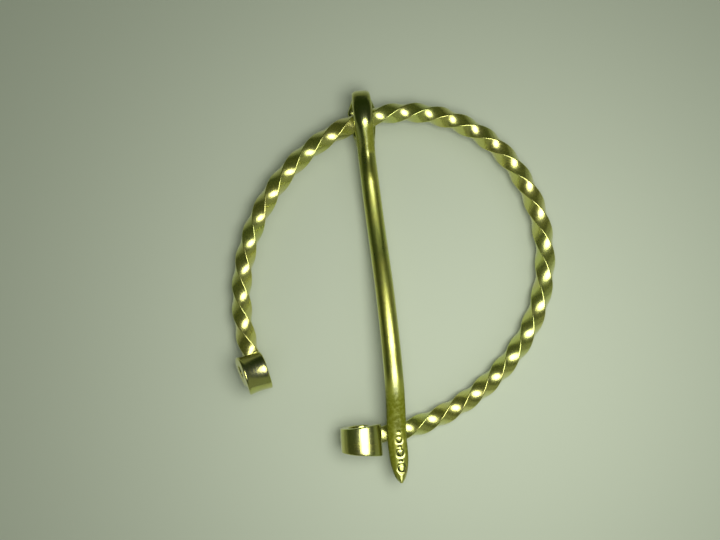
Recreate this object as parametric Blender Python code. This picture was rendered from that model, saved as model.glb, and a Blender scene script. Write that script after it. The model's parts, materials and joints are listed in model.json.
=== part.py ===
# Penannular brooch: a hoop of twisted square bar whose two flattened ends are rolled up
# into coils, and a pin whose flattened head is wrapped loosely round the hoop.
# Lengths are in metres and angles in degrees. Both pieces are drawn with the pin's loop
# at the origin and the middle of the hoop's bar in the plane z = 0. The finished brooch
# is then laid down on z = 0, on the three points that carry it.

import math

import bmesh
import bpy
import numpy as np
from mathutils import Vector

MM = 0.001

# The bar of the hoop, with its length from coil to coil
BAR_LENGTH = 121.3 * MM
BAR_SIDE = 2.05 * MM
EDGE_CHAMFER = 0.13 * MM

# The hoop's bends on each side of the pin's loop: each run's share of the bar, and its turn.
# The hoop leans by so much at the loop
HOOP_LEAN = 20.3
RIGHT_RUNS = ((0.1995, 74.1), (0.2301, 71.3), (0.2125, 51.2))
LEFT_RUNS = ((0.0842, 23.0), (0.2446, 63.3), (0.0291, 0.0))

# The twist, left-handed, leaves a plain length at each end of the bar. It is a little uneven:
# each of its waves has a length and a place where it slows the twist, as shares of the bar,
# and a strength
TWIST_QUARTERS = 30
TWIST_WAVES = ((0.506, 0.638, 0.055), (0.378, 0.689, 0.066))
TWIST_FADE = 1.0 * MM
LEFT_PLAIN = 1.85 * MM
RIGHT_PLAIN = 2.2 * MM

# The strip that each end is hammered to, and the coil that it is rolled into. A tilt raises
# the coil's outer end, and a drift is how far the roll wanders outwards. The strip widens
# from its root to its full width and narrows to its tail, between turns of the coil. The bar
# takes its spread to flatten into the root
STRIP_THICKNESS = 1.15 * MM
STRIP_SPREAD = 2.6 * MM
STRIP_WIDENS = (0.25, 0.75)
STRIP_NARROWS = (0.75, 1.1)
COIL_TURNS = 1.3
COIL_GAP = 0.15 * MM
COIL_HEIGHT = 4.9 * MM
LEFT_COIL_LENGTH = 5.3 * MM
LEFT_COIL_TILT = 27.0
LEFT_COIL_DRIFT = 1.2 * MM
LEFT_ROOT_WIDTH = 3.3 * MM
LEFT_STRIP_WIDTH = 3.25 * MM
LEFT_TAIL_WIDTH = 2.5 * MM
RIGHT_COIL_LENGTH = 5.5 * MM
RIGHT_COIL_TILT = 8.0
RIGHT_COIL_DRIFT = 0.45 * MM
RIGHT_ROOT_WIDTH = 3.15 * MM
RIGHT_STRIP_WIDTH = 4.2 * MM
RIGHT_TAIL_WIDTH = 3.0 * MM

# The pin's loop: over the bar, round a bend, and back under the bar to the shaft. The bend
# and the flat stretch start at shares of the loop's length from its crest
LOOP_GAP = 0.72 * MM
LOOP_PLAY = 1.7 * MM
LOOP_CREST = -0.6 * MM
LOOP_SHOULDER_RADIUS = 3.0 * MM
LOOP_SHOULDER_TURN = 25.0
LOOP_UNDER_RUN = 1.5 * MM
LOOP_UNDER_RADIUS = 3.0 * MM
LOOP_UNDER_TURN = 52.0
LOOP_CLOSING_GAP = 0.8 * MM
LOOP_CREST_WIDTH = 2.75 * MM
LOOP_CREST_THICKNESS = 1.3 * MM
LOOP_BEND_WIDTH = 2.5 * MM
LOOP_BEND_THICKNESS = 1.1 * MM
LOOP_FLAT_WIDTH = 4.1 * MM
LOOP_FLAT_THICKNESS = 0.85 * MM
LOOP_END_WIDTH = 2.7 * MM
LOOP_BEND_AT = 0.38
LOOP_FLAT_AT = 0.62

# The pin's shaft dives through the hoop, rises again, and levels out to rest on the bar
# beside a coil, with its tip dipping a little
NECK_LENGTH = 5.0 * MM
NECK_WIDTH = 2.5 * MM
SHAFT_WIDTH = 2.6 * MM
SHAFT_THICKNESS = 2.05 * MM
SHAFT_SWELL = 12.0 * MM
SHAFT_EXIT_RADIUS = 5.0 * MM
SHAFT_DIVE = 22.0
SHAFT_RISE = 11.5
SHAFT_DIP = 2.0

# Its bends aren't quite even: the neck sags a little, and the shaft humps before it levels out
NECK_SAG = 0.42 * MM
NECK_SAG_AT = 7.0 * MM
NECK_SAG_REACH = 4.2 * MM
SHAFT_HUMP = 0.38 * MM
SHAFT_HUMP_FROM_TIP = 13.2 * MM
SHAFT_HUMP_REACH = 5.2 * MM
SHAFT_SIDE_BOW = 0.7 * MM
SHAFT_BOW_SKEW = 1.6
SHAFT_COIL_GAP = 0.45 * MM
SHAFT_OVERHANG = 6.1 * MM
TIP_LENGTH = 4.3 * MM
TIP_BLUNTNESS = 0.55
TIP_CUT = 0.985
REST_GAP = 0.33 * MM

# The pin's squareness at its flat end, bend, crest, neck and shaft: 2 is an oval
SQUARENESS = (4.0, 4.0, 3.5, 3.0, 2.4, 2.2)

# How finely the surfaces are divided
BAR_STEPS_PER_QUARTER = 6
COIL_STEPS_PER_TURN = 24
PIN_SIDES = 14
LOOP_STEP = 0.5 * MM
SHAFT_STEP = 1.3 * MM
TIP_STEP = 0.7 * MM
SHARP_EDGE = 32.0

BAR_REACH = math.hypot(BAR_SIDE / 2, BAR_SIDE / 2 - EDGE_CHAMFER)
COIL_PITCH = STRIP_THICKNESS + COIL_GAP
UP = np.array([0.0, 0.0, 1.0])


def clear_scene():
    for old in list(bpy.data.objects):
        bpy.data.objects.remove(old, do_unlink=True)


def brass(name, colour, roughness):
    material = bpy.data.materials.new(name)
    material.use_nodes = True
    shader = material.node_tree.nodes["Principled BSDF"]
    shader.inputs["Base Color"].default_value = (*colour, 1.0)
    shader.inputs["Metallic"].default_value = 1.0
    shader.inputs["Roughness"].default_value = roughness
    return material


def ease(value, start, end):
    """A smooth rise from 0 before start to 1 after end."""
    share = np.clip((value - start) / (end - start), 0.0, 1.0)
    return share * share * (3.0 - 2.0 * share)


def travelled(points):
    """The distance along a line at each of its points."""
    gaps = np.linalg.norm(np.diff(points, axis=0), axis=1)
    return np.concatenate([[0.0], np.cumsum(gaps)])


def follow(start, heading, runs, step):
    """Points and headings of runs of (length, turn in radians), each an arc or straight."""
    points = [np.array(start, dtype=float)]
    headings = [heading]
    for length, turn in runs:
        count = max(1, math.ceil(length / step - 1e-6))
        for _ in range(count):
            half = turn / count / 2
            chord = length / count * (math.sin(half) / half if half else 1.0)
            middle = headings[-1] + half
            points.append(points[-1] + chord * np.array([math.cos(middle), math.sin(middle)]))
            headings.append(headings[-1] + 2 * half)
    return np.array(points), np.array(headings)


def tube(name, rings, material):
    """A closed mesh through a row of cross-sections, with a flat face at each end."""
    mesh = bpy.data.meshes.new(name)
    build = bmesh.new()
    rows = [[build.verts.new(corner) for corner in ring] for ring in rings]
    for row, following in zip(rows, rows[1:]):
        for index, corner in enumerate(row):
            build.faces.new((corner, row[index - 1], following[index - 1], following[index]))
    build.faces.new(rows[0])
    build.faces.new(rows[-1])
    bmesh.ops.recalc_face_normals(build, faces=build.faces)
    build.to_mesh(mesh)
    build.free()
    mesh.materials.append(material)
    mesh.shade_smooth()
    mesh.set_sharp_from_angle(angle=math.radians(SHARP_EDGE))
    made = bpy.data.objects.new(name, mesh)
    bpy.context.scene.collection.objects.link(made)
    return made


# The hoop


def hoop_line():
    """The middle of the bar in plan, from the left coil over the pin's loop to the right."""
    step = BAR_LENGTH / (TWIST_QUARTERS * BAR_STEPS_PER_QUARTER)
    lean = math.radians(HOOP_LEAN)
    left_runs = [(share * BAR_LENGTH, math.radians(turn)) for share, turn in LEFT_RUNS]
    right_runs = [(share * BAR_LENGTH, -math.radians(turn)) for share, turn in RIGHT_RUNS]
    left, left_headings = follow((0.0, 0.0), lean + math.pi, left_runs, step)
    right, right_headings = follow((0.0, 0.0), lean, right_runs, step)
    points = np.vstack([left[::-1], right[1:]])
    headings = np.concatenate([left_headings[::-1] - math.pi, right_headings[1:]])
    return points, headings


def twist_done(distance, total):
    """The share of the whole twist that is done at each distance along the bar."""
    fine = np.linspace(0.0, total, 2001)
    rate = np.ones(len(fine))
    for length, slowest, strength in TWIST_WAVES:
        rate -= strength * np.cos((fine / BAR_LENGTH - slowest) * 2 * math.pi / length)
    rate *= ease(fine, LEFT_PLAIN, LEFT_PLAIN + TWIST_FADE)
    rate *= 1.0 - ease(fine, total - RIGHT_PLAIN - TWIST_FADE, total - RIGHT_PLAIN)
    done = np.cumsum(rate) - rate[0]
    return np.interp(distance, fine, done / done[-1])


def coil_reaches(length):
    """How far a coil's middle line starts from its axis, along the bar and upwards."""
    flat_reach = (length - STRIP_THICKNESS + COIL_PITCH) / 2
    tall_reach = (COIL_HEIGHT - STRIP_THICKNESS + COIL_PITCH / 2) / 2
    return flat_reach, tall_reach


def rolled_strip(end, along, axis, rise, length, drift):
    """Middle points and inward directions of a coil, from the bar inwards.

    The strip runs on under the coil, up its far side and back over the top to the bar, and
    drifts along the coil's axis in its first half turn.
    """
    flat_reach, tall_reach = coil_reaches(length)
    turns = np.linspace(0.0, COIL_TURNS, math.ceil(COIL_TURNS * COIL_STEPS_PER_TURN) + 1)[1:, None]
    angle = turns * 2 * math.pi
    flat = flat_reach - COIL_PITCH * turns
    tall = tall_reach - COIL_PITCH * turns
    points = end + rise * tall_reach + flat * np.sin(angle) * along - tall * np.cos(angle) * rise
    points += drift * ease(turns, 0.0, 0.5) * axis
    creep = COIL_PITCH / (2 * math.pi)
    ahead = flat * np.cos(angle) - creep * np.sin(angle)
    upward = tall * np.sin(angle) + creep * np.cos(angle)
    inward = ahead * rise - upward * along
    return turns[:, 0], points, inward / np.linalg.norm(inward, axis=1)[:, None]


def oblong(point, side, top, half_side, half_top):
    """The corners of a rectangle round a point, each cut off by the chamfer."""
    near_side, near_top = half_side - EDGE_CHAMFER, half_top - EDGE_CHAMFER
    corners = (
        (half_side, -near_top),
        (half_side, near_top),
        (near_side, half_top),
        (-near_side, half_top),
        (-half_side, near_top),
        (-half_side, -near_top),
        (-near_side, -half_top),
        (near_side, -half_top),
    )
    return [point + x * side + y * top for x, y in corners]


def coil_rings(end, along, across, side, top, length, tilt, drift, widths):
    """Cross-sections of one coil from the bar inwards, and the half sizes that it starts with.

    The coil leans by its tilt, which raises its outer end. The directions side and top are
    those of the bar's end. The one that lies along the coil's axis gets the strip's width.
    """
    lean = math.radians(tilt)
    axis = math.cos(lean) * across + math.sin(lean) * UP
    rise = math.cos(lean) * UP - math.sin(lean) * across
    turns, points, inward = rolled_strip(end, along, axis, rise, length, drift)
    root, full, tail = widths
    width = root + (full - root) * ease(turns, *STRIP_WIDENS)
    width += (tail - full) * ease(turns, *STRIP_NARROWS)
    lies_along = round(abs(float(np.dot(side, axis))))
    half_side = (lies_along * width + (1 - lies_along) * STRIP_THICKNESS) / 2
    half_top = ((1 - lies_along) * width + lies_along * STRIP_THICKNESS) / 2
    rings = []
    for index, point in enumerate(points):
        turned_side = np.dot(side, axis) * axis + np.dot(side, rise) * inward[index]
        turned_top = np.dot(top, axis) * axis + np.dot(top, rise) * inward[index]
        rings.append(oblong(point, turned_side, turned_top, half_side[index], half_top[index]))
    return rings, half_side[0], half_top[0]


def make_hoop(material):
    """One bar from coil to coil: flattened, plain, twisted, plain and flattened."""
    plan, headings = hoop_line()
    distance = travelled(plan)
    total = distance[-1]
    level = np.zeros(len(plan))
    points = np.column_stack([plan, level])
    along = np.column_stack([np.cos(headings), np.sin(headings), level])
    across = np.column_stack([-np.sin(headings), np.cos(headings), level])

    # Each end of the bar lies as its coil does, and the twist makes up what is between.
    whole_twist = TWIST_QUARTERS * 90.0 + LEFT_COIL_TILT - RIGHT_COIL_TILT
    angle = np.radians(LEFT_COIL_TILT - whole_twist * twist_done(distance, total))[:, None]
    side = np.cos(angle) * across + np.sin(angle) * UP
    top = np.cos(angle) * UP - np.sin(angle) * across

    left, left_side, left_top = coil_rings(
        points[0], -along[0], across[0], side[0], top[0],
        LEFT_COIL_LENGTH, LEFT_COIL_TILT, LEFT_COIL_DRIFT,
        (LEFT_ROOT_WIDTH, LEFT_STRIP_WIDTH, LEFT_TAIL_WIDTH),
    )
    right, right_side, right_top = coil_rings(
        points[-1], along[-1], across[-1], side[-1], top[-1],
        RIGHT_COIL_LENGTH, RIGHT_COIL_TILT, RIGHT_COIL_DRIFT,
        (RIGHT_ROOT_WIDTH, RIGHT_STRIP_WIDTH, RIGHT_TAIL_WIDTH),
    )
    half = BAR_SIDE / 2
    left_flat = 1.0 - ease(distance, 0.0, STRIP_SPREAD)
    right_flat = ease(distance, total - STRIP_SPREAD, total)
    half_side = half + left_flat * (left_side - half) + right_flat * (right_side - half)
    half_top = half + left_flat * (left_top - half) + right_flat * (right_top - half)
    bar = [oblong(*station) for station in zip(points, side, top, half_side, half_top)]
    return tube("hoop", left[::-1] + bar + right, material)


# The pin


def resting_place():
    """The point of the hoop's middle line that the shaft crosses, beside the right coil."""
    plan, _ = hoop_line()
    distance = travelled(plan)
    flat_reach, _ = coil_reaches(RIGHT_COIL_LENGTH)
    coil_side = flat_reach - 0.75 * COIL_PITCH + STRIP_THICKNESS / 2
    place = distance[-1] - coil_side - SHAFT_COIL_GAP - SHAFT_WIDTH / 2
    return np.array([np.interp(place, distance, plan[:, axis]) for axis in (0, 1)])


def loop_side_line(crest_height):
    """The loop seen from its side, from its crest to where its end closes on the shaft.

    Distances run from the bar towards the pin's tip, and heights from the bar's middle.
    """
    turn = math.radians(LOOP_SHOULDER_TURN)
    sine, cosine = math.sin(turn), math.cos(turn)
    depth = BAR_REACH + LOOP_GAP + LOOP_FLAT_THICKNESS / 2
    far_end = BAR_REACH + LOOP_PLAY + LOOP_BEND_THICKNESS / 2
    height = crest_height - LOOP_SHOULDER_RADIUS * (1 - cosine) + depth
    length = far_end + LOOP_CREST - LOOP_SHOULDER_RADIUS * sine
    # The bend and the straight before it together reach the loop's depth and its far end.
    bend_radius, straight = np.linalg.solve([[1 + cosine, sine], [1 - sine, cosine]], [height, length])
    under_turn = math.radians(LOOP_UNDER_TURN)
    runs = (
        (LOOP_SHOULDER_RADIUS * turn, turn),
        (straight, 0.0),
        (bend_radius * (math.pi - turn), math.pi - turn),
        (LOOP_UNDER_RUN, 0.0),
        (LOOP_UNDER_RADIUS * under_turn, under_turn),
        (crest_height + depth, 0.0),
    )
    points, _ = follow((LOOP_CREST, crest_height), math.pi, runs, LOOP_STEP)
    return points


def shaft_side_line(crest_height, span):
    """The shaft seen from its side, from the loop's crest to the tip.

    It dives out of the loop, rises in one arc and levels out in another, which passes over
    the bar at the span.
    """
    dive, rise, dip = math.radians(SHAFT_DIVE), math.radians(SHAFT_RISE), math.radians(SHAFT_DIP)
    exit_run = ((SHAFT_EXIT_RADIUS * dive, -dive),)
    neck, _ = follow((LOOP_CREST, crest_height), 0.0, exit_run, LOOP_STEP)
    rest_height = BAR_REACH + REST_GAP + SHAFT_THICKNESS / 2
    # The radii of the two arcs, which together cover the way left to the bar.
    left = (span - neck[-1][0], rest_height - neck[-1][1])
    ahead = (math.sin(rise) + math.sin(dive), math.sin(rise) + math.sin(dip))
    upward = (math.cos(dive) - math.cos(rise), math.cos(dip) - math.cos(rise))
    rising, levelling = np.linalg.solve([ahead, upward], left)
    runs = ((rising * (dive + rise), dive + rise), (levelling * (rise + dip), -rise - dip))
    shaft, headings = follow(neck[-1], -dive, runs, SHAFT_STEP)
    plain = SHAFT_OVERHANG - TIP_LENGTH
    end_runs = ((plain, -plain / levelling), (TIP_LENGTH, -TIP_LENGTH / levelling))
    end, _ = follow(shaft[-1], headings[-1], end_runs, TIP_STEP)
    return np.vstack([neck, shaft[1:], end[1:]])


def close_loop(loop, shaft):
    """Cuts the loop's end off where it comes within its closing gap of the shaft."""
    past_bar = np.argmin(loop[:, 1])
    needed = (SHAFT_THICKNESS + LOOP_FLAT_THICKNESS) / 2 + LOOP_CLOSING_GAP
    for index in range(past_bar, len(loop)):
        apart = np.linalg.norm(shaft - loop[index], axis=1).min()
        if apart < needed:
            return loop[:index]
    return loop


def pin_size(place, loop_length, pin_length):
    """Width, thickness and squareness of the pin at a distance from the loop's crest.

    The distance is negative in the loop and positive in the shaft.
    """
    flat_at, bend_at = -LOOP_FLAT_AT * loop_length, -LOOP_BEND_AT * loop_length
    marks = (-loop_length, flat_at, bend_at, 0.0, NECK_LENGTH, SHAFT_SWELL)
    widths = (
        LOOP_END_WIDTH, LOOP_FLAT_WIDTH, LOOP_BEND_WIDTH, LOOP_CREST_WIDTH, NECK_WIDTH, SHAFT_WIDTH,
    )
    thicknesses = (
        LOOP_FLAT_THICKNESS, LOOP_FLAT_THICKNESS, LOOP_BEND_THICKNESS, LOOP_CREST_THICKNESS,
        SHAFT_THICKNESS, SHAFT_THICKNESS,
    )
    width = np.interp(place, marks, widths)
    thickness = np.interp(place, marks, thicknesses)
    squareness = np.interp(place, marks, SQUARENESS)
    along_tip = np.clip((place - pin_length + TIP_LENGTH) / TIP_LENGTH, 0.0, TIP_CUT)
    taper = (1.0 - along_tip**2) ** TIP_BLUNTNESS
    return width * taper, thickness * taper, squareness


def bell(place, middle, reach):
    """1 at the middle, falling smoothly to 0 at its reach on both sides."""
    return (1.0 + np.cos(math.pi * np.clip((place - middle) / reach, -1.0, 1.0))) / 2


def rounded(point, side, top, width, thickness, squareness):
    """Points round an oval that grows squarer with its squareness."""
    angle = np.arange(PIN_SIDES) * 2 * math.pi / PIN_SIDES
    x = np.sign(np.cos(angle)) * np.abs(np.cos(angle)) ** (2 / squareness) * width / 2
    y = np.sign(np.sin(angle)) * np.abs(np.sin(angle)) ** (2 / squareness) * thickness / 2
    return point + x[:, None] * side + y[:, None] * top


def make_pin(material):
    """One bar from the end that is folded in under the hoop, round the loop and to the tip."""
    target = resting_place()
    span = np.linalg.norm(target)
    ahead = np.array([*target / span, 0.0])
    sideways = np.array([-ahead[1], ahead[0], 0.0])
    crest_height = BAR_REACH + LOOP_GAP + LOOP_CREST_THICKNESS / 2
    shaft = shaft_side_line(crest_height, span)
    loop = close_loop(loop_side_line(crest_height), shaft)
    line = np.vstack([loop[:0:-1], shaft])
    loop_length = travelled(loop)[-1]
    place = travelled(line) - loop_length
    # The shaft also bows a little to one side, most of all past its middle.
    share = np.clip(line[:, 0] / span, 0.0, 1.0)
    bow = SHAFT_SIDE_BOW * np.sin(math.pi * share**SHAFT_BOW_SKEW) * (place > 0)
    height = line[:, 1] - NECK_SAG * bell(place, NECK_SAG_AT, NECK_SAG_REACH)
    height += SHAFT_HUMP * bell(place, place[-1] - SHAFT_HUMP_FROM_TIP, SHAFT_HUMP_REACH)
    points = line[:, :1] * ahead + height[:, None] * UP + bow[:, None] * sideways
    forward = np.gradient(points, place, axis=0)
    forward /= np.linalg.norm(forward, axis=1)[:, None]
    top = np.cross(forward, sideways)
    top /= np.linalg.norm(top, axis=1)[:, None]
    side = np.cross(top, forward)
    width, thickness, squareness = pin_size(place, loop_length, place[-1])
    stations = zip(points, side, top, width, thickness, squareness)
    return tube("pin", [rounded(*station) for station in stations], material)


# The brooch lying down


def solid_moments(made):
    """The volume of a closed mesh, and its volume times its centre of mass."""
    made.data.calc_loop_triangles()
    corners = np.array([
        [made.data.vertices[index].co for index in triangle.vertices]
        for triangle in made.data.loop_triangles
    ])
    volumes = np.linalg.det(corners) / 6
    return volumes.sum(), (volumes[:, None] * corners.sum(axis=1) / 4).sum(axis=0)


def lay_down(carrier, pieces):
    """Turns and moves the carrier so that its pieces lie on the floor, as a loose thing does.

    It lies on the face of its convex hull that has the centre of mass above it.
    """
    moments = [solid_moments(made) for made in pieces]
    centre = Vector(sum(moment for _, moment in moments) / sum(volume for volume, _ in moments))
    points = [vertex.co for made in pieces for vertex in made.data.vertices]
    hull = bmesh.new()
    for point in points:
        hull.verts.new(point)
    bmesh.ops.convex_hull(hull, input=hull.verts)
    bmesh.ops.delete(hull, geom=[v for v in hull.verts if not v.link_faces], context="VERTS")
    bmesh.ops.recalc_face_normals(hull, faces=hull.faces)
    lowest = None
    for face in hull.faces:
        normal = face.normal
        foot = centre + normal * normal.dot(face.verts[0].co - centre)
        corners = [vert.co for vert in face.verts]
        edges = zip(corners, corners[1:] + corners[:1])
        inside = all((end - start).cross(foot - start).dot(normal) >= 0 for start, end in edges)
        if inside and (lowest is None or normal.z < lowest.z):
            lowest = normal.copy()
    hull.free()
    turn = lowest.rotation_difference(Vector((0.0, 0.0, -1.0)))
    laid = np.array([turn @ point for point in points])
    low, high = laid.min(axis=0), laid.max(axis=0)
    carrier.rotation_mode = "QUATERNION"
    carrier.rotation_quaternion = turn
    carrier.location = (-(low[0] + high[0]) / 2, -(low[1] + high[1]) / 2, -low[2])


def make_brooch():
    clear_scene()
    polished = brass("polished brass", (0.72, 0.60, 0.28), 0.22)
    rubbed = brass("rubbed brass", (0.66, 0.56, 0.27), 0.34)
    hoop = make_hoop(polished)
    pin = make_pin(rubbed)
    carrier = bpy.data.objects.new("brooch", None)
    bpy.context.scene.collection.objects.link(carrier)
    hoop.parent = carrier
    pin.parent = carrier
    lay_down(carrier, (hoop, pin))


make_brooch()
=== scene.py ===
# A penannular brooch of bright brass, lying loose on a pale floor: a hoop of twisted
# square bar with rolled ends, and a pin whose head is folded round the hoop.
# Shapes are worked out in mm, with the pin's loop at the origin and the middle of the
# hoop's bar at height 0, and then laid down as the CAD brooch lies.

import json
import math

import bpy
import numpy as np
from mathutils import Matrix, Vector


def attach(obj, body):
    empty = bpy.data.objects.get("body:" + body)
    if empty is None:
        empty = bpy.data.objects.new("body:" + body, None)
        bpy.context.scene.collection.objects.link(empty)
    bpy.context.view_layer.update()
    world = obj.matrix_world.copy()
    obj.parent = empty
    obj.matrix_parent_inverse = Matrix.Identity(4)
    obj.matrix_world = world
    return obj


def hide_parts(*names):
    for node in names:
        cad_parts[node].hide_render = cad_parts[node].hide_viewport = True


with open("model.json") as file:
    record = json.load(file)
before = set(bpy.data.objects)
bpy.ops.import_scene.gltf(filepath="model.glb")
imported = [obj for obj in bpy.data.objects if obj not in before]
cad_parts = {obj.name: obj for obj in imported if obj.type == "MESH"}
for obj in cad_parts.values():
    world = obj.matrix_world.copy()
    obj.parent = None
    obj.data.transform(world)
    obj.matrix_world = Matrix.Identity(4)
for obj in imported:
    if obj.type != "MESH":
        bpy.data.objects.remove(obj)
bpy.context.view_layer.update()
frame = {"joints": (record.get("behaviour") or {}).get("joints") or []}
mm = 0.001
up = np.array([0.0, 0.0, 1.0])
print("frame loaded")


# Shared surface work


def ease(value, start, end):
    # the share of the way from start to end, squared, times three less twice itself
    share = np.clip((value - start) / (end - start), 0.0, 1.0)
    return share * share * (3.0 - 2.0 * share)


def bell(place, middle, reach):
    # half of one plus the cosine of the way from the middle, as a share of half a turn
    return (1 + np.cos(math.pi * np.clip((place - middle) / reach, -1.0, 1.0))) / 2


def unit(vectors):
    # each vector divided by its own length
    return vectors / np.linalg.norm(vectors, axis=-1, keepdims=True)


def followRuns(start, heading, runs, step):
    # the heading turns evenly along each run of (length, turn), and the line is the running
    # sum of short steps along the headings
    lengths = np.array([run[0] for run in runs])
    turns = np.array([run[1] for run in runs])
    ends = np.concatenate([[0.0], np.cumsum(lengths)])
    distance = np.linspace(0.0, ends[-1], math.ceil(ends[-1] / step) + 1)
    headings = heading + np.interp(distance, ends, np.concatenate([[0.0], np.cumsum(turns)]))
    middle = (headings[1:] + headings[:-1]) / 2
    steps = np.diff(distance)[:, None] * np.column_stack([np.cos(middle), np.sin(middle)])
    points = np.array(start) + np.vstack([np.zeros((1, 2)), np.cumsum(steps, axis=0)])
    return points, headings, distance


def travelled(points):
    # the way gone at each point: the running sum of the gaps between them
    gaps = np.linalg.norm(np.diff(points, axis=0), axis=1)
    return np.concatenate([[0.0], np.cumsum(gaps)])


# How the brooch lies: where the CAD hinge is, and which way the hoop's plane faces
laid = {
    "hinge": np.array(frame["joints"][0]["pos_m"]) / mm,
    "facing": (0.00997, -0.03482, 0.99934),
}


def layDown(points):
    # turned from the hoop's own plane to the way it lies, and moved to the CAD hinge
    turn = Vector((0, 0, 1)).rotation_difference(Vector(laid["facing"])).to_matrix()
    return points @ np.array(turn).T + laid["hinge"]


def uneven(distance, lengths, seed):
    # a smooth wandering between about -1 and 1: the mean of sines of several lengths
    phases = np.random.default_rng(seed).uniform(0, 2 * math.pi, len(lengths))
    waves = [np.sin(distance * 2 * math.pi / length + phase) for length, phase in zip(lengths, phases)]
    return np.mean(waves, axis=0)


def tubeMesh(name, rings, grain, marks):
    # quads between each ring and the next, with each end closed by a fan to its middle
    count, around = rings.shape[:2]
    corners = rings.reshape(-1, 3)
    middles = np.vstack([rings[0].mean(axis=0), rings[-1].mean(axis=0)])
    places = np.vstack([corners, middles])
    index = np.arange(count * around).reshape(count, around)
    beside = np.roll(index, -1, axis=1)
    quads = np.stack([index[:-1], index[1:], beside[1:], beside[:-1]], axis=-1).reshape(-1, 4)
    first = np.column_stack([index[0], beside[0], np.full(around, count * around)])
    last = np.column_stack([beside[-1], index[-1], np.full(around, count * around + 1)])
    shape = places[quads]
    outward = np.einsum("ij,ij->i", shape[:, 0], np.cross(shape[:, 1], shape[:, 2])).sum()
    faces = quads.tolist() + first.tolist() + last.tolist()
    if outward < 0:
        faces = [face[::-1] for face in faces]
    mesh = bpy.data.meshes.new(name)
    mesh.from_pydata((layDown(places) * mm).tolist(), [], faces)
    # the grain: millimetres along the piece, and across and up its section
    grain = np.vstack([grain.reshape(-1, 3), grain[0].mean(axis=0), grain[-1].mean(axis=0)])
    attribute = mesh.attributes.new("grain", "FLOAT_VECTOR", "POINT")
    attribute.data.foreach_set("vector", grain.astype(np.float32).ravel())
    for markName, values in marks.items():
        ends = [values[:around].mean(), values[-around:].mean()]
        attribute = mesh.attributes.new(markName, "FLOAT", "POINT")
        attribute.data.foreach_set("value", np.concatenate([values, ends]).astype(np.float32))
    mesh.shade_smooth()
    piece = bpy.data.objects.new(name, mesh)
    bpy.context.scene.collection.objects.link(piece)
    return piece


def crownedSection(sizes, halfSide, halfTop, crownSide, crownTop):
    # each station's points round a rectangle with round corners and crowned faces: a face
    # stands out by its crown times one less the square of the share of the way from its
    # middle, and each corner's arc starts and ends at the slopes of the faces that it joins
    radius = sizes["cornerRadius"]
    wideX, wideY = halfSide - radius, halfTop - radius
    # the slopes depend on the faces' widths and the widths on the slopes: three rounds settle it
    for _ in range(3):
        slopeTop = np.arctan(2 * crownTop / wideX)
        slopeSide = np.arctan(2 * crownSide / wideY)
        wideX = halfSide - radius * (np.cos(slopeSide) - np.sin(slopeTop))
        wideY = halfTop - radius * (np.cos(slopeTop) - np.sin(slopeSide))
    share = np.linspace(0.0, 1.0, sizes["cornerPoints"])
    slide = np.linspace(1.0, -1.0, sizes["facePoints"] + 2)[1:-1]
    bend = slopeSide[:, None] + share * (math.pi / 2 - slopeTop - slopeSide)[:, None]
    cornerX = (wideX - radius * np.sin(slopeTop))[:, None] + radius * np.cos(bend)
    cornerY = (wideY - radius * np.sin(slopeSide))[:, None] + radius * np.sin(bend)
    topX, topY = wideX[:, None] * slide, halfTop[:, None] + crownTop[:, None] * (1 - slide**2)
    sideX, sideY = halfSide[:, None] + crownSide[:, None] * (1 - slide**2), wideY[:, None] * slide
    x = np.hstack([cornerX, topX, -cornerX[:, ::-1], -sideX])
    y = np.hstack([cornerY, topY, cornerY[:, ::-1], sideY])
    edge = np.zeros(sizes["cornerPoints"])
    hollow = np.tile(np.concatenate([edge, 1 - slide**2]), 4)
    return np.hstack([x, -x]), np.hstack([y, -y]), hollow


# The hoop


hoopSizes = {
    "barLength": 121.3,
    "barSide": 2.05,
    "cornerRadius": 0.17,
    "crown": 0.12,                      # how far the middle of each face stands out
    "uneven": 0.012,                    # how much the bar's thickness wanders
    "unevenLengths": (2.3, 3.7, 5.9),   # and over what lengths
    "unevenSeed": 3,
    "chamfer": 0.13,                    # of the CAD bar, which the pin's loop clears
    "lean": 20.3,                       # degrees, the bar's heading at the pin's loop
    # away from the pin's loop: each run's share of the bar, and how far it turns in degrees
    "rightRuns": ((0.1995, 74.1), (0.2301, 71.3), (0.2125, 51.2)),
    "leftRuns": ((0.0842, 23.0), (0.2446, 63.3), (0.0291, 0.0)),
    "quarters": 30,                     # quarter turns of twist
    # waves in the twist: length and slowest place as shares of the bar, and strength
    "waves": ((0.506, 0.638, 0.055), (0.378, 0.689, 0.066)),
    "twistSamples": 4001,
    "leftPlain": 1.85,                  # how much of each end isn't twisted
    "rightPlain": 2.2,
    "fade": 1.0,                        # and how long the twist takes to set in
    "spread": 2.6,                      # how long the bar takes to flatten into the strip
    "rightCoilSatin": 0.55,             # how satin the right coil is, next to the twist
    "barStep": 0.1,                     # between sections, and then between those of a coil
    "coilStep": 0.12,
    "cornerPoints": 6,
    "facePoints": 9,
    "strip": {                          # the flattened ends, rolled up into the coils
        "thickness": 1.15,
        "widens": (0.25, 0.75),         # turns, as the next two
        "narrows": (0.75, 1.1),
        "turns": 1.3,
        "gap": 0.15,
        "height": 4.9,
    },
    "left": {                           # the two coils
        "length": 5.3,
        "tilt": 27.0,                   # degrees
        "drift": 1.2,                   # how far the strip moves outwards in its first half turn
        "widths": (3.3, 3.25, 2.5),     # at the root, round the outside and at the inner end
        "crown": -0.10,                 # how far the strip's face stands out, here a hollow
        "slant": 0.13,                  # how far the coil leans back as it rises, as a share
    },
    "right": {
        "length": 5.5,
        "tilt": 8.0,
        "drift": 0.45,
        "widths": (3.15, 4.2, 3.0),
        "crown": 0.03,
        "slant": 0.0,
    },
}


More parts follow.
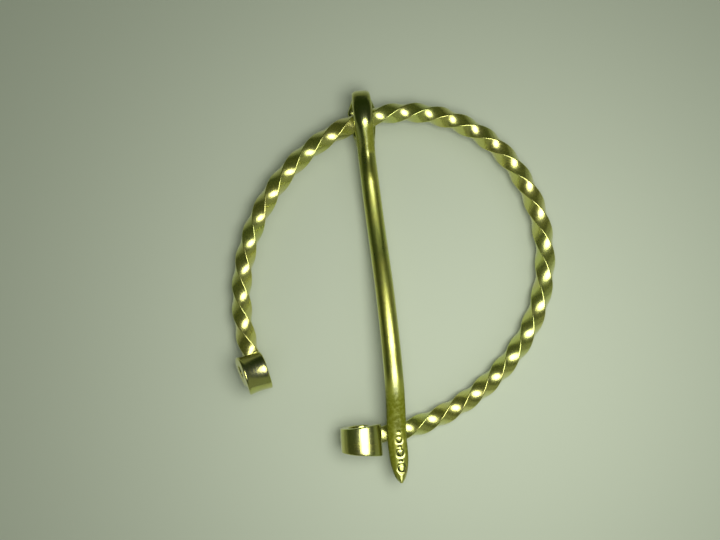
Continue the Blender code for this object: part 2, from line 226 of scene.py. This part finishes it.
def hoopLine(sizes):
    # the middle of the bar in plan, from the left coil over the pin's loop to the right coil
    lean = math.radians(sizes["lean"])
    bar = sizes["barLength"]
    leftRuns = [(share * bar, math.radians(turn)) for share, turn in sizes["leftRuns"]]
    rightRuns = [(share * bar, -math.radians(turn)) for share, turn in sizes["rightRuns"]]
    left, leftHeadings, leftWay = followRuns((0, 0), lean + math.pi, leftRuns, sizes["barStep"])
    right, rightHeadings, rightWay = followRuns((0, 0), lean, rightRuns, sizes["barStep"])
    points = np.vstack([left[::-1], right[1:]])
    headings = np.concatenate([leftHeadings[::-1] - math.pi, rightHeadings[1:]])
    distance = np.concatenate([leftWay[-1] - leftWay[::-1], leftWay[-1] + rightWay[1:]])
    return points, headings, distance


def twistDone(sizes, distance):
    # the running sum of a rate that its waves slow here and there, and that fades out at
    # both ends, as a share of the whole sum
    total = distance[-1]
    fine = np.linspace(0.0, total, sizes["twistSamples"])
    rate = np.ones(len(fine))
    for length, slowest, strength in sizes["waves"]:
        rate -= strength * np.cos((fine / sizes["barLength"] - slowest) * 2 * math.pi / length)
    rate *= ease(fine, sizes["leftPlain"], sizes["leftPlain"] + sizes["fade"])
    rate *= 1 - ease(fine, total - sizes["rightPlain"] - sizes["fade"], total - sizes["rightPlain"])
    done = np.cumsum(rate) - rate[0]
    return np.interp(distance, fine, done / done[-1])


def coilReaches(strip, coil):
    # how far the spiral reaches along and up from its middle at the start, and its pitch
    pitch = strip["thickness"] + strip["gap"]
    flatReach = (coil["length"] - strip["thickness"] + pitch) / 2
    tallReach = (strip["height"] - strip["thickness"] + pitch / 2) / 2
    return flatReach, tallReach, pitch


def coilStations(strip, coil, end, along, across, side, top, step):
    # an oval spiral that shrinks by one pitch a turn: on under the coil, up its far side and
    # back over the top to the bar, while it drifts outwards in its first half turn
    lean = math.radians(coil["tilt"])
    axis = math.cos(lean) * across + math.sin(lean) * up
    rise = math.cos(lean) * up - math.sin(lean) * across
    flatReach, tallReach, pitch = coilReaches(strip, coil)
    around = math.pi * (flatReach + tallReach)
    turns = np.linspace(0.0, strip["turns"], math.ceil(strip["turns"] * around / step))[1:]
    angle = turns[:, None] * 2 * math.pi
    flat = flatReach - pitch * turns[:, None]
    tall = tallReach - pitch * turns[:, None]
    climb = tallReach - tall * np.cos(angle)
    points = end + climb * rise + (flat * np.sin(angle) - coil["slant"] * climb) * along
    points = points + coil["drift"] * ease(turns, 0.0, 0.5)[:, None] * axis
    creep = pitch / (2 * math.pi)
    ahead = flat * np.cos(angle) - creep * np.sin(angle)
    upward = tall * np.sin(angle) + creep * np.cos(angle)
    inward = unit(ahead * rise - upward * along)
    root, full, tail = coil["widths"]
    width = root + (full - root) * ease(turns, *strip["widens"])
    width = width + (tail - full) * ease(turns, *strip["narrows"])
    liesAlong = round(abs(float(np.dot(side, axis))))
    halfSide = (liesAlong * width + (1 - liesAlong) * strip["thickness"]) / 2
    halfTop = ((1 - liesAlong) * width + liesAlong * strip["thickness"]) / 2
    crownSide = np.full(len(turns), (1 - liesAlong) * coil["crown"])
    crownTop = np.full(len(turns), liesAlong * coil["crown"])
    turnedSide = np.dot(side, axis) * axis + np.dot(side, rise) * inward
    turnedTop = np.dot(top, axis) * axis + np.dot(top, rise) * inward
    return {
        "points": points,
        "side": turnedSide,
        "top": turnedTop,
        "halfSide": halfSide,
        "halfTop": halfTop,
        "crownSide": crownSide,
        "crownTop": crownTop,
    }


def makeHoop(sizes):
    # rings of the crowned section through the left coil, the twisted bar and the right coil:
    # the bar's section turns about its middle line, from flat in one coil to flat in the other
    strip, left, right = sizes["strip"], sizes["left"], sizes["right"]
    plan, headings, distance = hoopLine(sizes)
    total = distance[-1]
    level = np.zeros(len(plan))
    points = np.column_stack([plan, level])
    along = np.column_stack([np.cos(headings), np.sin(headings), level])
    across = np.column_stack([-np.sin(headings), np.cos(headings), level])
    wholeTwist = sizes["quarters"] * 90.0 + left["tilt"] - right["tilt"]
    angle = np.radians(left["tilt"] - wholeTwist * twistDone(sizes, distance))[:, None]
    side = np.cos(angle) * across + np.sin(angle) * up
    top = np.cos(angle) * up - np.sin(angle) * across
    step = sizes["coilStep"]
    leftEnd = coilStations(strip, left, points[0], -along[0], across[0], side[0], top[0], step)
    rightEnd = coilStations(strip, right, points[-1], along[-1], across[-1], side[-1], top[-1], step)
    leftFlat = 1 - ease(distance, 0.0, sizes["spread"])
    rightFlat = ease(distance, total - sizes["spread"], total)

    def flattened(ofBar, part):
        # the bar's own value, which goes over into each coil's first one
        intoLeft = leftFlat * (leftEnd[part][0] - ofBar)
        intoRight = rightFlat * (rightEnd[part][0] - ofBar)
        return ofBar + intoLeft + intoRight

    half = sizes["barSide"] / 2
    half = half + sizes["uneven"] * uneven(distance, sizes["unevenLengths"], sizes["unevenSeed"])
    bar = {
        "points": points,
        "side": side,
        "top": top,
        "halfSide": flattened(half, "halfSide"),
        "halfTop": flattened(half, "halfTop"),
        "crownSide": flattened(sizes["crown"], "crownSide"),
        "crownTop": flattened(sizes["crown"], "crownTop"),
    }
    joined = {part: np.concatenate([leftEnd[part][::-1], bar[part], rightEnd[part]]) for part in bar}
    points, side, top = joined["points"], joined["side"], joined["top"]
    sections = (joined[part] for part in ("halfSide", "halfTop", "crownSide", "crownTop"))
    x, y, hollow = crownedSection(sizes, *sections)
    rings = points[:, None] + x[..., None] * side[:, None] + y[..., None] * top[:, None]
    way = np.broadcast_to(travelled(points)[:, None], x.shape)
    # the coils are brighter than the twist, and the left one is the brighter
    rightSatin = sizes["rightCoilSatin"]
    satin = np.concatenate([
        np.zeros(len(leftEnd["points"])),
        1 - leftFlat - (1 - rightSatin) * rightFlat,
        np.full(len(rightEnd["points"]), rightSatin),
    ])
    marks = {
        "hollow": np.tile(hollow, len(points)),
        "satin": np.repeat(satin, x.shape[1]),
        "film": np.repeat(satin, x.shape[1]),
    }
    return tubeMesh("twisted_hoop", rings, np.stack([way, x, y], axis=-1), marks)


# The pin


pinSizes = {
    "barClear": 0.72,                   # bar to loop, above and below
    "play": 1.7,                        # bar to the loop's bend
    "crest": -0.6,                      # the loop's highest place, from the bar towards the tip
    "shoulderRadius": 3.0,
    "shoulderTurn": 25.0,
    "underRun": 1.5,
    "underRadius": 3.0,
    "underTurn": 52.0,
    "closingGap": 0.8,
    "crestWidth": 2.75,
    "crestThickness": 1.3,
    "bendWidth": 2.5,
    "bendThickness": 1.1,
    "flatWidth": 4.25,
    "flatThickness": 0.85,
    "endWidth": 2.7,
    "bendAt": 0.38,                     # shares of the loop's length, as the next two
    "flatAt": 0.56,
    "flatLeans": (0.2, 0.5),            # where the folded part starts and ends to lean aside
    "flatAside": 0.12,                  # and how far it sits to the right
    "neckLength": 5.0,
    "neckWidth": 2.5,
    "shaftWidth": 2.6,
    "shaftThickness": 2.05,
    "swell": 12.0,                      # where the shaft has its full thickness
    "exitRadius": 5.0,
    "dive": 22.0,                       # degrees, as the next two
    "rise": 11.5,
    "dip": 2.0,
    "neckSag": (0.60, 5.7, 4.4),        # how deep, how far from the crest, and its reach
    "shaftHump": (0.38, 13.2, 5.2),     # how high, how far from the tip, and its reach
    "sideBow": 0.7,                     # how far the shaft bows aside
    "bowSkew": 1.6,                     # above 1, the bow is fullest past the middle
    "coilGap": 0.45,                    # coil to shaft
    "restGap": 0.33,                    # bar to shaft, where the shaft lies over the hoop
    "overhang": 6.1,                    # from the hoop's bar to the tip
    "tipLength": 4.3,
    "tipBluntness": 0.5,                # 0.5 tapers the tip like an oval, less is blunter
    "tipCut": 0.98,                     # how much of the taper there is before the flat end
    "topTaper": 0.05,                   # how much of that taper the top follows
    "tipAside": (0.3, 24.0, 3.0),       # how far the tip leans aside, over what stretch
    "tipLift": (0.5, 4.0),              # how much the tip curves up, over what length
    # the section's squareness at the flat end, flap, bend, crest, neck and shaft, and at four
    # places near the tip: 2 is an oval, and less than 2 has a ridge
    "underSquareness": (4.0, 4.0, 3.5, 3.0, 2.4, 2.2, 2.2, 2.2, 2.2, 2.0),
    "topSquareness": (4.0, 4.0, 3.5, 2.0, 1.6, 2.1, 2.1, 2.8, 2.8, 2.2),
    "nearTip": (13.0, 8.0, 1.7, 0.9),   # how far those four places are from the tip
    "ridgeAside": (0.12, 4.2, 4.6),     # how far the neck's ridge leans, where, and its reach
    "satinFrom": (1.5, 9.0),            # where the polish of the head turns to satin
    "filmFrom": (37.0, 41.0),           # and where a dull film starts
    "rubbedFrom": (4.5, 7.6),           # from the tip, where the film is rubbed off again
    "rubbedAside": (0.45, 0.85),        # and how far that reaches beside the row of marks
    "rubbed": 0.85,                     # the share that is rubbed off there
    "brightFilm": 0.9,                  # the shares of film and satin that the marks take away
    "brightSatin": 0.7,
    # painted sheen: a dull olive film painted to the right of the neck's ridge, standing in for the
    # light that flank catches and dimming its highlight: where it starts, where it ends, its share
    "paintedNeckSheen": (1.5, 2.6, 5.2, 6.2, 0.85),
    "paintedSheenEdge": (-0.35, 0.05),         # its left edge, from the ridge
    "lineStep": 0.02,                   # along the side view, from which the sections' places come
    "pointsAround": 112,
    "step": 0.13,                       # between sections, and then between those near the tip
    "markedLength": 9.0,
    "markedStep": 0.05,
    # the row of punched rings with dots between: distance from the tip, radius and depth
    "punches": {
        "aside": 0.2,                   # how far the row is to the right of the middle
        "rings": ((1.92, 0.56, 0.075), (4.0, 0.49, 0.065), (5.75, 0.43, 0.055)),
        "ringWidth": 0.14,
        "dots": ((2.95, 0.22, 0.08), (4.87, 0.22, 0.08), (6.81, 0.24, 0.08)),
        "ringMargin": 0.22,             # how far the bright metal goes past each ring's middle line
        "dotMargin": 0.15,              # and past each dot
    },
}


def restingPlace(hoop, pin):
    # where on the hoop's middle line the shaft crosses, close beside the right coil
    plan, _, distance = hoopLine(hoop)
    strip = hoop["strip"]
    flatReach, _, pitch = coilReaches(strip, hoop["right"])
    # the coil's near side is three quarters of a turn on, so as many pitches further in
    coilSide = flatReach - 0.75 * pitch + strip["thickness"] / 2
    place = distance[-1] - coilSide - pin["coilGap"] - pin["shaftWidth"] / 2
    return np.array([np.interp(place, distance, plan[:, axis]) for axis in (0, 1)])


def loopSideLine(pin, barReach, crestHeight, step):
    # seen from the side: a shoulder, a straight, a round bend, a short run under the bar and
    # a curl up towards the shaft
    turn = math.radians(pin["shoulderTurn"])
    sine, cosine = math.sin(turn), math.cos(turn)
    depth = barReach + pin["barClear"] + pin["flatThickness"] / 2
    farEnd = barReach + pin["play"] + pin["bendThickness"] / 2
    height = crestHeight - pin["shoulderRadius"] * (1 - cosine) + depth
    length = farEnd + pin["crest"] - pin["shoulderRadius"] * sine
    bend, straight = np.linalg.solve([[1 + cosine, sine], [1 - sine, cosine]], [height, length])
    underTurn = math.radians(pin["underTurn"])
    runs = (
        (pin["shoulderRadius"] * turn, turn),
        (straight, 0.0),
        (bend * (math.pi - turn), math.pi - turn),
        (pin["underRun"], 0.0),
        (pin["underRadius"] * underTurn, underTurn),
        (crestHeight + depth, 0.0),
    )
    return followRuns((pin["crest"], crestHeight), math.pi, runs, step)[0]


def shaftSideLine(pin, barReach, crestHeight, span, step):
    # seen from the side: a dive out of the loop, an arc that rises again, and one that levels
    # out over the bar at the span and on to the tip
    dive, rise, dip = (math.radians(pin[turn]) for turn in ("dive", "rise", "dip"))
    neckRun = ((pin["exitRadius"] * dive, -dive),)
    neck = followRuns((pin["crest"], crestHeight), 0.0, neckRun, step)[0]
    restHeight = barReach + pin["restGap"] + pin["shaftThickness"] / 2
    # the radii of the two arcs, which together cover the way left to the bar
    left = (span - neck[-1][0], restHeight - neck[-1][1])
    ahead = (math.sin(rise) + math.sin(dive), math.sin(rise) + math.sin(dip))
    upward = (math.cos(dive) - math.cos(rise), math.cos(dip) - math.cos(rise))
    rising, levelling = np.linalg.solve([ahead, upward], left)
    runs = (
        (rising * (dive + rise), dive + rise),
        (levelling * (rise + dip), -rise - dip),
        (pin["overhang"], -pin["overhang"] / levelling),
    )
    shaft = followRuns(neck[-1], -dive, runs, step)[0]
    return np.vstack([neck, shaft[1:]])


def closeLoop(pin, loop, shaft):
    # the loop's end stops where it comes within its closing gap of the shaft, of which every
    # fourth point is near enough
    pastBar = np.argmin(loop[:, 1])
    needed = (pin["shaftThickness"] + pin["flatThickness"]) / 2 + pin["closingGap"]
    apart = np.linalg.norm(loop[:, None] - shaft[None, ::4], axis=2).min(axis=1)
    near = np.nonzero((apart < needed) & (np.arange(len(loop)) > pastBar))[0]
    return loop[: near[0]] if len(near) else loop


def punchedDepth(punches, fromTip, aside):
    # how deep each point near the tip is punched in: a round groove for each ring, whose depth
    # falls off with the square of the way from its middle line, and a flat-bottomed bowl for
    # each dot, whose depth falls off with the fourth power. Inside both, the metal is bright
    depth = np.zeros(aside.shape)
    bright = np.zeros(aside.shape)
    for middle, radius, deep in punches["rings"]:
        away = np.hypot(fromTip[:, None] - middle, aside - punches["aside"])
        depth += deep * np.exp(-(((away - radius) / punches["ringWidth"]) ** 2))
        bright = np.maximum(bright, 1 - ease(away, radius, radius + punches["ringMargin"]))
    for middle, radius, deep in punches["dots"]:
        away = np.hypot(fromTip[:, None] - middle, aside - punches["aside"])
        depth += deep * np.exp(-((away / radius) ** 4))
        bright = np.maximum(bright, 1 - ease(away, radius, radius + punches["dotMargin"]))
    return depth, bright


def makePin(pin, hoop):
    # rings across the side line's points, each an oval or squarer, from the loop's end to the tip
    punches = pin["punches"]
    halfBar = hoop["barSide"] / 2
    barReach = math.hypot(halfBar, halfBar - hoop["chamfer"])
    target = restingPlace(hoop, pin)
    span = np.linalg.norm(target)
    ahead = np.array([*target / span, 0.0])
    sideways = np.array([-ahead[1], ahead[0], 0.0])
    crestHeight = barReach + pin["barClear"] + pin["crestThickness"] / 2
    shaft = shaftSideLine(pin, barReach, crestHeight, span, pin["lineStep"])
    loop = closeLoop(pin, loopSideLine(pin, barReach, crestHeight, pin["lineStep"]), shaft)
    line = np.vstack([loop[:0:-1], shaft])
    loopLength = travelled(loop)[-1]
    place = travelled(line) - loopLength
    pinLength = place[-1]
    plainEnd = pinLength - pin["markedLength"]
    markedSteps = round(pin["markedLength"] / pin["markedStep"])
    stations = np.concatenate([
        np.arange(place[0], plainEnd, pin["step"]),
        np.linspace(plainEnd, pinLength, markedSteps + 1),
    ])
    reach = np.interp(stations, place, line[:, 0])
    sag, sagAt, sagReach = pin["neckSag"]
    hump, humpFromTip, humpReach = pin["shaftHump"]
    height = np.interp(stations, place, line[:, 1]) - sag * bell(stations, sagAt, sagReach)
    height += hump * bell(stations, pinLength - humpFromTip, humpReach)
    lift, liftLength = pin["tipLift"]
    height += lift * np.clip(1 - (pinLength - stations) / liftLength, 0.0, 1.0) ** 2
    share = np.clip(reach / span, 0.0, 1.0)
    bow = pin["sideBow"] * np.sin(math.pi * share ** pin["bowSkew"]) * (stations > 0)
    tipAside, asideFrom, asideFull = pin["tipAside"]
    bow += tipAside * ease(stations - pinLength, -asideFrom, -asideFull)
    bow = bow + pin["flatAside"] * ease(-stations / loopLength, *pin["flatLeans"])
    points = reach[:, None] * ahead + height[:, None] * up + bow[:, None] * sideways
    forward = unit(np.gradient(points, stations, axis=0))
    top = unit(np.cross(forward, sideways))
    side = np.cross(top, forward)
    stops = (
        -loopLength, -pin["flatAt"] * loopLength, -pin["bendAt"] * loopLength,
        0.0, pin["neckLength"], pin["swell"],
    )
    nearTip = [pinLength - length for length in pin["nearTip"]]
    width = np.interp(stations, stops, (
        pin["endWidth"], pin["flatWidth"], pin["bendWidth"],
        pin["crestWidth"], pin["neckWidth"], pin["shaftWidth"],
    ))
    thickness = np.interp(stations, stops, (
        pin["flatThickness"], pin["flatThickness"], pin["bendThickness"],
        pin["crestThickness"], pin["shaftThickness"], pin["shaftThickness"],
    ))
    under = np.interp(stations, (*stops, *nearTip), pin["underSquareness"])
    over = np.interp(stations, (*stops, *nearTip), pin["topSquareness"])
    # the taper is one less the square of the way along the tip, to the power of its bluntness
    alongTip = (stations - pinLength + pin["tipLength"]) / pin["tipLength"]
    taper = (1 - np.clip(alongTip, 0.0, pin["tipCut"]) ** 2) ** pin["tipBluntness"]
    # each section's points are the cosine and the sine to the power of two over the squareness
    angle = np.linspace(0, 2 * math.pi, pin["pointsAround"], endpoint=False)
    isTop = np.sin(angle) > 0
    power = 2 / np.where(isTop, over[:, None], under[:, None])
    x = np.sign(np.cos(angle)) * np.abs(np.cos(angle)) ** power * (width * taper)[:, None] / 2
    # the tip tapers from its sides and from beneath more than from above
    thin = np.where(isTop, taper[:, None] ** pin["topTaper"], taper[:, None])
    y = np.sign(np.sin(angle)) * np.abs(np.sin(angle)) ** power * thickness[:, None] * thin / 2
    lean, leanAt, leanReach = pin["ridgeAside"]
    lean = lean * bell(stations, leanAt, leanReach)
    x += lean[:, None] * np.clip(2 * y / thickness[:, None], 0.0, 1.0)
    punched, bright = punchedDepth(punches, pinLength - stations, x)
    y -= isTop * punched
    rings = points[:, None] + x[..., None] * side[:, None] + y[..., None] * top[:, None]
    way = np.broadcast_to(stations[:, None], x.shape)
    satin = ease(stations, *pin["satinFrom"])
    # the film is rubbed off along the row of marks, not down the sides
    nearMarks = 1 - ease(pinLength - stations, *pin["rubbedFrom"])[:, None]
    nearMarks = nearMarks * (1 - ease(np.abs(x - punches["aside"]), *pin["rubbedAside"]))
    film = ease(stations, *pin["filmFrom"])[:, None] * (1 - pin["rubbed"] * nearMarks)
    # painted sheen on the neck's right flank: a paler, duller olive film standing in for the light
    # falling there, which also dims the highlight
    start, full, fades, end, share = pin["paintedNeckSheen"]
    paintedSheen = share * ease(stations, start, full) * (1 - ease(stations, fades, end))
    paintedSheen = paintedSheen[:, None] * ease(x - lean[:, None], *pin["paintedSheenEdge"])
    # satin and film are mostly gone where it is punched
    punchedTop = isTop * bright
    marks = {
        "hollow": np.zeros(x.size),
        "satin": (satin[:, None] * (1 - pin["brightSatin"] * punchedTop)).ravel(),
        # the film mark holds both the painted sheen beside the neck's ridge and the dull film of the
        # shaft
        "film": (paintedSheen + film * (1 - pin["brightFilm"] * punchedTop)).ravel(),
    }
    return tubeMesh("looped_pin", rings, np.stack([way, x, y], axis=-1), marks)


# Finishes


# What both pieces' brass has in common: the ranges are those of a noise or an attribute, over
# which a share goes from none to all
tarnish = {
    "greenishRange": (0.42, 0.62),      # of the drift
    "brownRange": (0.56, 0.70),         # of the patches
    "dullRange": (0.50, 0.32),          # of the patches, and how dull they make it
    "dullPatches": 0.55,
    "dullStreaksRange": (0.45, 0.75),   # of the streaks, and how dull they make it
    "dullStreaks": 0.35,
    "hollowRange": (0.0, 0.8),          # of the hollow, and how much of the dullness edges keep
    "dullEdges": 0.45,
    "filmRange": (0.35, 0.6),           # of the mottling, and how much film is on its thin spots
    "filmThin": 0.75,
    "dullRough": 0.08,
    "streakRange": (0.3, 0.75),
    "mottleRange": (0.35, 0.65),
    "mottleRough": (-0.02, 0.03),
    "streakDetail": (4.0, 0.65),        # detail and roughness of the noise, as the next one
    "plainDetail": (3.0, 0.55),
    "driftDetail": (2.0, 0.55),
    "driftStretch": (1.0, 1.3, 0.8),
    "skinIor": 1.9,
}


def brass(name, look):
    # metal whose colour drifts between clean, greenish, brown and dull, with fine streaks
    # along the bar and a fine mottling
    material = bpy.data.materials.new(name)
    material.use_nodes = True
    nodes, links = material.node_tree.nodes, material.node_tree.links
    shader = nodes["Principled BSDF"]
    place = nodes.new("ShaderNodeTexCoord").outputs["Object"]
    whole = (0.0, 1.0)

    def attribute(source, output):
        node = nodes.new("ShaderNodeAttribute")
        node.attribute_name = source
        return node.outputs[output]

    def noise(vector, scale, detail):
        node = nodes.new("ShaderNodeTexNoise")
        node.inputs["Scale"].default_value = scale
        node.inputs["Detail"].default_value, node.inputs["Roughness"].default_value = detail
        links.new(vector, node.inputs["Vector"])
        return node.outputs["Fac"]

    def remap(value, reach, low, high):
        node = nodes.new("ShaderNodeMapRange")
        sockets = ("From Min", "From Max", "To Min", "To Max")
        for socket, number in zip(sockets, (*reach, low, high)):
            node.inputs[socket].default_value = number
        links.new(value, node.inputs["Value"])
        return node.outputs["Result"]

    def combine(operation, first, second):
        node = nodes.new("ShaderNodeMath")
        node.operation = operation
        for socket, value in zip(node.inputs, (first, second)):
            if isinstance(value, float):
                socket.default_value = value
            else:
                links.new(value, socket)
        return node.outputs[0]

    def blend(share, under, over):
        node = nodes.new("ShaderNodeMix")
        node.data_type = "RGBA"
        links.new(share, node.inputs["Factor"])
        for socket, value in zip((node.inputs[6], node.inputs[7]), (under, over)):
            if isinstance(value, tuple):
                socket.default_value = (*value, 1.0)
            else:
                links.new(value, socket)
        return node.outputs[2]

    def stretched(vector, scale):
        node = nodes.new("ShaderNodeVectorMath")
        node.operation = "MULTIPLY"
        node.inputs[1].default_value = scale
        links.new(vector, node.inputs[0])
        return node.outputs[0]

    grain = attribute("grain", "Vector")
    satin = attribute("satin", "Fac")
    hollow = attribute("hollow", "Fac")
    streaks = noise(stretched(grain, look["streakScale"]), 1.0, tarnish["streakDetail"])
    mottle = noise(place, look["mottleScale"], tarnish["plainDetail"])
    patches = noise(place, look["patchScale"], tarnish["plainDetail"])
    leaning = stretched(place, tarnish["driftStretch"])
    drift = noise(leaning, look["driftScale"], tarnish["driftDetail"])

    colour = blend(remap(drift, tarnish["greenishRange"], *whole), look["clean"], look["greenish"])
    brown = remap(patches, tarnish["brownRange"], 0.0, look["brownShare"])
    colour = blend(brown, colour, look["brown"])
    dullPatches = remap(patches, tarnish["dullRange"], 0.0, tarnish["dullPatches"])
    dullStreaks = remap(streaks, tarnish["dullStreaksRange"], 0.0, tarnish["dullStreaks"])
    inHollow = remap(hollow, tarnish["hollowRange"], tarnish["dullEdges"], 1.0)
    dull = combine("MULTIPLY", combine("ADD", dullPatches, dullStreaks), inHollow)
    colour = blend(remap(dull, whole, 0.0, look["dullShare"]), colour, look["dull"])
    # the dull film is less metallic and rougher
    # on the pin the film mark also holds the painted sheen beside the neck's ridge
    broken = remap(mottle, tarnish["filmRange"], tarnish["filmThin"], 1.0)
    film = combine("MULTIPLY", attribute("film", "Fac"), broken)
    colour = blend(remap(film, whole, 0.0, look["filmShare"]), colour, look["film"])
    links.new(colour, shader.inputs["Base Color"])
    links.new(remap(film, whole, 1.0, look["filmMetal"]), shader.inputs["Metallic"])

    # the roughness is the sum of what the polish, streaks, dullness, mottling and film each add
    rough = remap(streaks, tarnish["streakRange"], 0.0, look["streakRough"])
    rough = combine("ADD", rough, remap(dull, whole, 0.0, tarnish["dullRough"]))
    rough = combine("ADD", rough, remap(satin, whole, look["polished"], look["satin"]))
    rough = combine("ADD", rough, remap(mottle, tarnish["mottleRange"], *tarnish["mottleRough"]))
    rough = combine("ADD", rough, remap(film, whole, 0.0, look["filmRough"]))
    links.new(rough, shader.inputs["Roughness"])
    # the thin clear skin on it gives its highlights white edges
    links.new(remap(film, whole, 1.0, look["filmShine"]), shader.inputs["Coat Weight"])
    shader.inputs["Specular IOR Level"].default_value = look["filmShine"] / 2
    shader.inputs["Coat IOR"].default_value = tarnish["skinIor"]
    shader.inputs["Coat Roughness"].default_value = look["skinRough"]

    bump = nodes.new("ShaderNodeBump")
    bump.inputs["Strength"].default_value = 1.0
    bump.inputs["Distance"].default_value = look["bump"] * mm
    height = combine("MULTIPLY", streaks, look["streakHeight"])
    mottleHeight = remap(satin, whole, look["mottleHeight"] / 2, look["mottleHeight"])
    height = combine("ADD", height, combine("MULTIPLY", mottle, mottleHeight))
    links.new(height, bump.inputs["Height"])
    links.new(bump.outputs["Normal"], shader.inputs["Normal"])
    return material


# The setting


floorLook = {
    "size": 30.0,                       # metres
    "colour": (0.52, 0.575, 0.45),
    "roughness": 0.9,
    "shine": 0.1,
}


def makeFloor(look):
    half = look["size"] / 2
    mesh = bpy.data.meshes.new("floor")
    corners = [(-half, -half, 0), (half, -half, 0), (half, half, 0), (-half, half, 0)]
    mesh.from_pydata(corners, [], [(0, 1, 2, 3)])
    floor = bpy.data.objects.new("floor", mesh)
    bpy.context.scene.collection.objects.link(floor)
    material = bpy.data.materials.new("floor")
    material.use_nodes = True
    shader = material.node_tree.nodes["Principled BSDF"]
    shader.inputs["Base Color"].default_value = (*look["colour"], 1.0)
    shader.inputs["Roughness"].default_value = look["roughness"]
    shader.inputs["Specular IOR Level"].default_value = look["shine"]
    mesh.materials.append(material)
    return floor


light = {
    "place": (13.0, -12.0, 75.0),       # mm, close beside the camera
    "size": 50.0,                       # mm across
    "power": 0.046,
    "fill": 0.75,                       # an even light over the whole floor
    "fillAngle": 90.0,                  # degrees, how wide the even light is
    "fillTurn": (10.0, 20.0, 0.0),      # degrees, how it leans
    "colour": (1.0, 1.0, 0.97),
    "overhead": (0.020, 0.032, 0.009),  # what the polished faces see
    "horizon": (0.21, 0.235, 0.165),
    "horizonHeight": (0.28, 0.48),      # where the horizon's paleness starts and ends to fade
    "horizonSlope": (-0.12, 0.2),       # how much lower to the left and towards the pin's loop
}


def makeLight(look):
    # a round softbox beside the camera, an even light that polished faces don't mirror, and
    # the room that they do mirror
    data = bpy.data.lights.new("softbox", "AREA")
    data.shape = "DISK"
    data.size = look["size"] * mm
    data.energy = look["power"]
    data.color = look["colour"]
    softbox = bpy.data.objects.new("softbox", data)
    softbox.location = Vector(look["place"]) * mm
    softbox.visible_camera = False
    bpy.context.scene.collection.objects.link(softbox)
    fillData = bpy.data.lights.new("fill", "SUN")
    fillData.energy = look["fill"]
    fillData.angle = math.radians(look["fillAngle"])
    fill = bpy.data.objects.new("fill", fillData)
    fill.rotation_euler = [math.radians(turn) for turn in look["fillTurn"]]
    fill.visible_glossy = False
    bpy.context.scene.collection.objects.link(fill)
    world = bpy.context.scene.world or bpy.data.worlds.new("room")
    bpy.context.scene.world = world
    world.use_nodes = True
    nodes, links = world.node_tree.nodes, world.node_tree.links
    # dark overhead, and paler down to the horizon
    facing = nodes.new("ShaderNodeTexCoord")
    slope = nodes.new("ShaderNodeVectorMath")
    slope.operation = "DOT_PRODUCT"
    slope.inputs[1].default_value = (*look["horizonSlope"], 1.0)
    fade = nodes.new("ShaderNodeMapRange")
    fade.interpolation_type = "SMOOTHSTEP"
    fade.inputs["From Min"].default_value, fade.inputs["From Max"].default_value = look["horizonHeight"]
    mix = nodes.new("ShaderNodeMix")
    mix.data_type = "RGBA"
    mix.inputs[6].default_value = (*look["horizon"], 1.0)
    mix.inputs[7].default_value = (*look["overhead"], 1.0)
    links.new(facing.outputs["Generated"], slope.inputs[0])
    links.new(slope.outputs["Value"], fade.inputs["Value"])
    links.new(fade.outputs["Result"], mix.inputs["Factor"])
    links.new(mix.outputs[2], nodes["Background"].inputs["Color"])


camera = {
    "place": (-4.82, -8.31, 86.55),     # mm, looking almost straight down
    "tilt": 6.57,                       # degrees
    "lens": 30.0,                       # mm, as the next one
    "sensor": 36.0,
    "nearest": 0.001,                   # metres, where the view starts
}


def makeCamera(look):
    data = bpy.data.cameras.new("camera")
    data.sensor_width = look["sensor"]
    data.lens = look["lens"]
    data.clip_start = look["nearest"]
    view = bpy.data.objects.new("camera", data)
    view.location = Vector(look["place"]) * mm
    view.rotation_euler = (math.radians(look["tilt"]), 0.0, 0.0)
    bpy.context.scene.collection.objects.link(view)
    bpy.context.scene.camera = view


makeCamera(camera)
makeLight(light)
makeFloor(floorLook)
bpy.context.scene.view_settings.view_transform = "Standard"
print("camera, light and floor made")

# Each finish: colours, how much of each goes over the clean metal, and roughnesses. A film's
# shine is how much of the clear skin is left on it
hoopFinish = {
    "skinRough": 0.26,
    "clean": (0.56, 0.54, 0.10),
    "greenish": (0.49, 0.55, 0.105),
    "brown": (0.46, 0.34, 0.10),
    "brownShare": 0.4,
    "dull": (0.34, 0.35, 0.04),
    "dullShare": 0.6,
    "patchScale": 420.0,                # per metre, as the next two
    "driftScale": 160.0,
    "mottleScale": 3200.0,
    "streakScale": (0.35, 5.0, 5.0),    # per mm along, across and up
    "polished": 0.12,
    "satin": 0.17,
    "streakRough": 0.07,
    "film": (0.53, 0.55, 0.05),
    "filmShare": 0.3,
    "filmMetal": 0.88,
    "filmRough": 0.03,
    "filmShine": 1.0,
    "bump": 0.005,                      # mm
    "streakHeight": 0.8,
    "mottleHeight": 0.5,
}
hoop = makeHoop(hoopSizes)
hoop.data.materials.append(brass("polished brass", hoopFinish))
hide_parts("hoop")
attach(hoop, "hoop")
print("hoop made:", len(hoop.data.polygons), "faces")

pinFinish = {
    "skinRough": 0.25,
    "clean": (0.52, 0.53, 0.075),
    "greenish": (0.45, 0.51, 0.08),
    "brown": (0.42, 0.30, 0.10),
    "brownShare": 0.4,
    "dull": (0.28, 0.26, 0.06),
    "dullShare": 0.75,
    "patchScale": 360.0,                # per metre, as the next two
    "driftScale": 150.0,
    "mottleScale": 2600.0,
    "streakScale": (0.22, 4.0, 4.0),    # per mm along, across and up
    "polished": 0.14,
    "satin": 0.27,
    "streakRough": 0.12,
    "film": (0.128, 0.143, 0.006),
    "filmShare": 1.0,
    "filmMetal": 0.06,
    "filmRough": 0.2,
    "filmShine": 0.05,
    "bump": 0.014,                      # mm
    "streakHeight": 0.8,
    "mottleHeight": 0.9,
}
pin = makePin(pinSizes, hoopSizes)
pin.data.materials.append(brass("rubbed brass", pinFinish))
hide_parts("pin")
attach(pin, "pin")
print("pin made:", len(pin.data.polygons), "faces")
